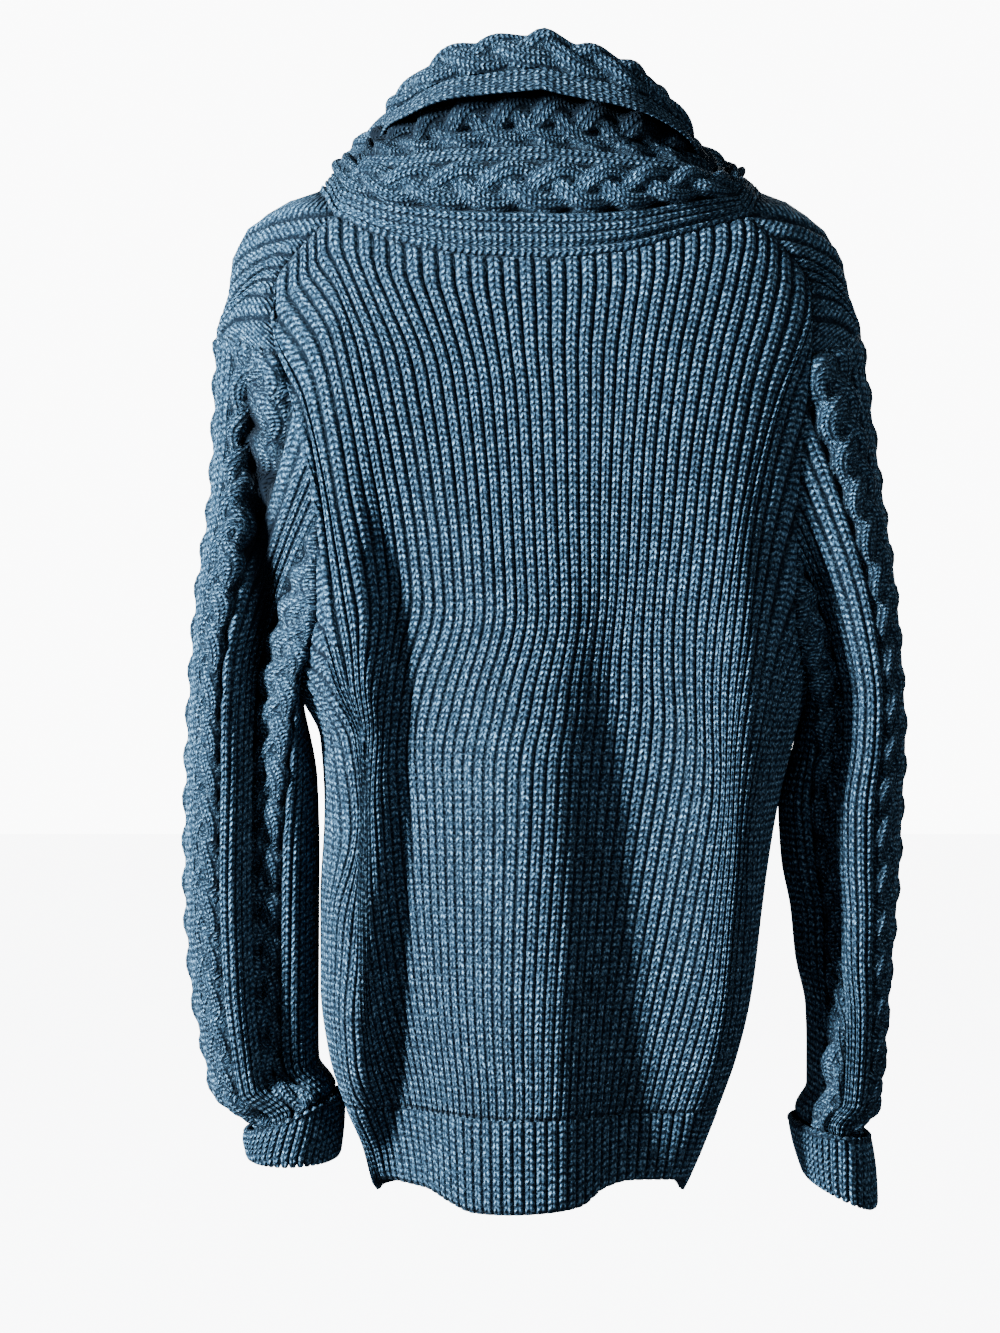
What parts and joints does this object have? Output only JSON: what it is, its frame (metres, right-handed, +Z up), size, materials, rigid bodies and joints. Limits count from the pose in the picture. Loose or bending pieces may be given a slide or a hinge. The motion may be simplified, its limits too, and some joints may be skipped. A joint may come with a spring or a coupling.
{
  "type": "shawl collar cardigan",
  "caption": "Long-sleeved rib-knit cardigan with a standing shawl collar, turned-up cuffs, a ribbed hem and a buttoned front, filled out as if worn",
  "frame": {"origin": "in the middle of the neck opening, at the height where the collar meets the shoulders", "axes": "+Z up, the front faces -Y, and the wearer's left is +X"},
  "size_m": [0.5334, 0.2744, 0.8559],
  "materials": {
    "body_knit": "heather rib knit",
    "rib_knit": "close rib knit",
    "collar_knit": "rib and cable knit",
    "horn": "satin horn"
  },
  "bodies": {
    "root": {"back": "body_knit", "front_left": "body_knit", "front_right": "body_knit", "sleeve_left": "body_knit", "sleeve_right": "body_knit", "cuff_left": "rib_knit", "cuff_right": "rib_knit", "hem_back": "rib_knit", "hem_front_left": "rib_knit", "hem_front_right": "rib_knit", "collar": "collar_knit", "band_left": "rib_knit", "band_right": "rib_knit", "button_1": "horn", "button_2": "horn", "button_3": "horn", "button_4": "horn", "button_5": "horn"}
  },
  "joints": []
}
